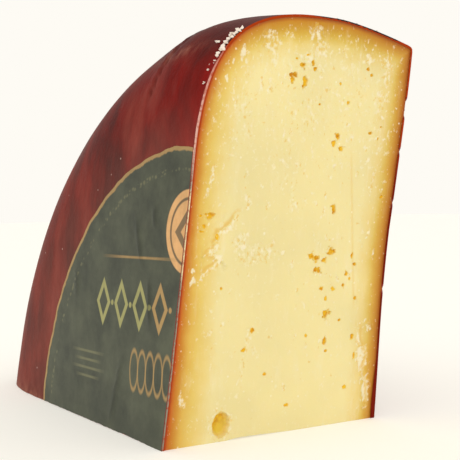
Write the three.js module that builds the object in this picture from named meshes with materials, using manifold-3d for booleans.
// A wedge, a little over a quarter, of a round semi-hard cheese in its wax coat, standing on one of its two cut faces.
// Millimetres, +Z up. The origin is on the surface that the wedge stands on, at the middle of its box.
import * as THREE from "three";
import { mergeVertices } from "three/addons/utils/BufferGeometryUtils.js";
import Module from "manifold-3d";

const wasm = await Module();
wasm.setup();

// Driving dimensions of the whole wheel, measured over its wax. x runs along the wheel's axis and r away from it.
const wheelRadius = 184.2;
const wheelThickness = 97.6;
const crownX = 56.4; // where the rim is at its full radius
const shoulderRadius = 124.7; // where the left face starts to turn over into the rim
const cornerRadius = 178.6; // the rim has fallen to this at its right corner
const cornerSize = 2.5;
const faceSwell = 1.3; // the left face stands this far proud at the wheel's middle

// The two knife cuts. The front one is upright in the wheel, and the wheel's axis lies a little outside the wedge.
const wedgeAngle = 96.9;
const knifeSkew = 3.24; // the lower cut runs this far off square to the wheel's faces
const axisBeforeFrontCut = 1.4;
const axisBelowApex = 17.8;

// The skins.
const coatThickness = 1.0;
const paperThickness = 0.3;
const seam = 0.3; // clearance between pieces that touch
const labelRadius = 122.7;
const labelOffCentre = { y: -7.0, z: 9.5 }; // the label was stuck on a little off the wheel's middle

// The rim isn't quite round: it is fuller just behind the front cut and where it meets the lower one.
const fullShoulder = { height: 2.0, at: 12, spread: 7, fadeFromX: 30, fadeToX: 60 };
const fullHeel = { height: 1.6, from: 82, to: 95 };
const rimStarts = 130;
const rimFull = 165;

const turnSteps = 120;
const labelSteps = 96;
const knifeSize = 600;

// Half of the wheel's section, from the axis up the left face, over the rim and back down the right face.
function wheelSection() {
  const point = (x, r) => new THREE.Vector2(x, r);
  const rimSlope = (wheelRadius - cornerRadius) / (wheelThickness - crownX);
  const cornerX = wheelThickness - cornerSize;
  return [
    { steps: 5, curve: new THREE.QuadraticBezierCurve(point(-faceSwell, 0), point(0, 50), point(0, shoulderRadius)) },
    {
      steps: 12,
      curve: new THREE.CubicBezierCurve(
        point(0, shoulderRadius),
        point(0, 168.9),
        point(12.7, wheelRadius),
        point(crownX, wheelRadius),
      ),
    },
    {
      steps: 6,
      curve: new THREE.QuadraticBezierCurve(
        point(crownX, wheelRadius),
        point(70, wheelRadius),
        point(cornerX, cornerRadius),
      ),
    },
    {
      steps: 3,
      curve: new THREE.QuadraticBezierCurve(
        point(cornerX, cornerRadius),
        point(wheelThickness, cornerRadius - rimSlope * cornerSize),
        point(wheelThickness, cornerRadius - cornerSize),
      ),
    },
    {
      steps: 12,
      curve: new THREE.SplineCurve([
        point(wheelThickness, cornerRadius - cornerSize),
        point(97.8, 140),
        point(96.8, 104),
        point(97.8, 72),
        point(100.1, 40),
        point(103, 0),
      ]),
    },
  ];
}

// The section moved outwards along its normals, or inwards where offset is negative.
function offsetSection(offset) {
  const points = [];
  for (const { curve, steps } of wheelSection())
    for (let i = points.length ? 1 : 0; i <= steps; i++) {
      const along = curve.getTangent(i / steps);
      points.push(curve.getPoint(i / steps).add(new THREE.Vector2(-along.y, along.x).multiplyScalar(offset)));
    }
  points[0].y = 0;
  points[points.length - 1].y = 0;
  return points;
}

// How far the rim stands out of round at a place on it.
function outOfRound(x, r, degrees) {
  const bump = Math.exp(-(((degrees - fullShoulder.at) / fullShoulder.spread) ** 2));
  const left = 1 - THREE.MathUtils.smoothstep(x, fullShoulder.fadeFromX, fullShoulder.fadeToX);
  const heel = THREE.MathUtils.smoothstep(degrees, fullHeel.from, fullHeel.to);
  const onRim = THREE.MathUtils.smoothstep(r, rimStarts, rimFull);
  return onRim * (fullShoulder.height * bump * left + fullHeel.height * heel);
}

// A closed geometry as a manifold-3d solid.
function solid(geometry) {
  const bare = geometry.clone();
  bare.deleteAttribute("normal");
  bare.deleteAttribute("uv");
  const merged = mergeVertices(bare, 1e-3);
  return new wasm.Manifold(
    new wasm.Mesh({
      numProp: 3,
      vertProperties: new Float32Array(merged.attributes.position.array),
      triVerts: new Uint32Array(merged.index.array),
    }),
  );
}

// The whole wheel, or a layer's outer or inner wall, about an axis along X. Angles run from upright towards +Y.
function wheelSolid(offset) {
  const upright = offsetSection(offset).map((p) => new THREE.Vector2(p.y, -p.x));
  const turned = new THREE.LatheGeometry(upright.reverse(), turnSteps);
  turned.rotateZ(Math.PI / 2);
  const place = turned.attributes.position;
  for (let i = 0; i < place.count; i++) {
    const x = place.getX(i);
    const r = Math.hypot(place.getY(i), place.getZ(i));
    if (r < rimStarts) continue;
    const angle = THREE.MathUtils.radToDeg(Math.atan2(place.getY(i), place.getZ(i)));
    const scale = 1 + outOfRound(x, r, angle) / r;
    place.setXYZ(i, x, place.getY(i) * scale, place.getZ(i) * scale);
  }
  turned.translate(0, -axisBeforeFrontCut, -axisBelowApex);
  return solid(turned);
}

// A block on the far side of a cut, which takes away everything there.
function knife(towards, turn) {
  const block = new THREE.BoxGeometry(knifeSize, knifeSize, knifeSize);
  block.translate(...towards.multiplyScalar(knifeSize / 2).toArray());
  return solid(block.applyMatrix4(turn));
}

// The wheel, turned so that its lower cut is level. Everything below is made in the wheel's own frame.
const wheel = new THREE.Group();
wheel.rotation.set(THREE.MathUtils.degToRad(wedgeAngle - 90), THREE.MathUtils.degToRad(knifeSkew), 0);
wheel.updateMatrix();

const frontKnife = knife(new THREE.Vector3(0, -1, 0), new THREE.Matrix4());
const lowerKnife = knife(new THREE.Vector3(0, 0, -1), wheel.matrix.clone().invert());

// The finished mesh of one piece: its solid cut by both knives, in its own material.
function piece(name, uncut, material) {
  const cut = uncut.subtract(frontKnife).subtract(lowerKnife);
  const { vertProperties, triVerts } = cut.getMesh();
  const geometry = new THREE.BufferGeometry();
  geometry.setAttribute("position", new THREE.BufferAttribute(vertProperties, 3));
  geometry.setIndex(new THREE.BufferAttribute(triVerts, 1));
  geometry.computeVertexNormals();
  const mesh = new THREE.Mesh(geometry, new THREE.MeshStandardMaterial(material));
  mesh.name = name;
  return mesh;
}

// The cheese itself: the paste and its rind, grown as one body.
function makeCheese() {
  return piece("cheese", wheelSolid(-coatThickness - seam), { color: 0xf2e0a2, roughness: 0.55, metalness: 0 });
}

// The wax that the wheel was dipped in: one skin over both flat faces and the rim, open where the knives went through.
function makeWaxCoat() {
  const skin = wheelSolid(0).subtract(wheelSolid(-coatThickness));
  return piece("wax_coat", skin, { color: 0x6a2d29, roughness: 0.4, metalness: 0 });
}

// The printed paper disc that lies on the left face.
function makeLabel() {
  const sheet = wheelSolid(seam + paperThickness).subtract(wheelSolid(seam));
  const disc = new THREE.CylinderGeometry(labelRadius, labelRadius, wheelThickness / 2, labelSteps);
  disc.rotateZ(Math.PI / 2);
  disc.translate(0, labelOffCentre.y - axisBeforeFrontCut, labelOffCentre.z - axisBelowApex);
  return piece("label", sheet.intersect(solid(disc)), { color: 0x595b4e, roughness: 0.5, metalness: 0 });
}

wheel.add(makeCheese(), makeWaxCoat(), makeLabel());

const wedge = new THREE.Group();
wedge.add(wheel);

// Bring the middle of the footprint to the origin.
const box = new THREE.Box3().setFromObject(wedge, true);
const middle = box.getCenter(new THREE.Vector3());
wheel.position.set(-middle.x, -middle.y, -box.min.z);

export default wedge;
